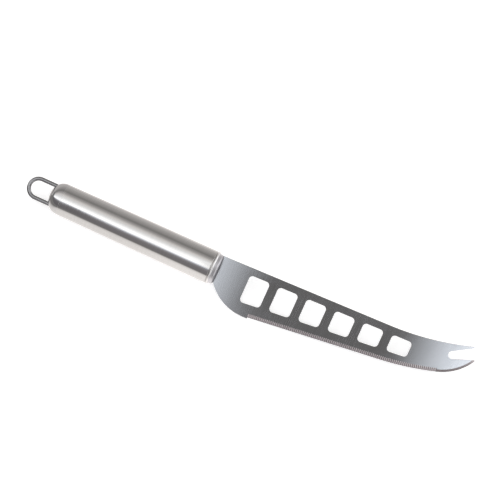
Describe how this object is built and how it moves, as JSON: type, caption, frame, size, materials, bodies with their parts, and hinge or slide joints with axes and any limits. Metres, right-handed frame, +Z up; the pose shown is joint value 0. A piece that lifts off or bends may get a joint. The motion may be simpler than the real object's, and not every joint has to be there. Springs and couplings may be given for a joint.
{
  "type": "cheese knife",
  "caption": "Stainless-steel cheese knife with a round hollow handle, a wire hanging loop, and a thin micro-serrated blade with windows and a forked tip",
  "frame": {"origin": "on the table, under the middle of the knife's outline", "axes": "+X along the handle and blade towards the tip, +Y towards the spine's side, +Z up from the table the knife lies on"},
  "size_m": [0.2798, 0.035, 0.022],
  "materials": {
    "blade_steel": "fine brushed across the blade",
    "handle_steel": "satin polished",
    "wire_steel": "drawn wire, polished",
    "weld_metal": "dark, as welded"
  },
  "bodies": {
    "root": {"blade": "blade_steel", "front_cap": "handle_steel", "handle_tube": "handle_steel", "rear_cap": "handle_steel", "hanging_loop": "wire_steel", "tang_weld": "weld_metal", "front_seam_weld": "weld_metal", "rear_seam_weld": "handle_steel", "loop_weld": "weld_metal"}
  },
  "joints": []
}
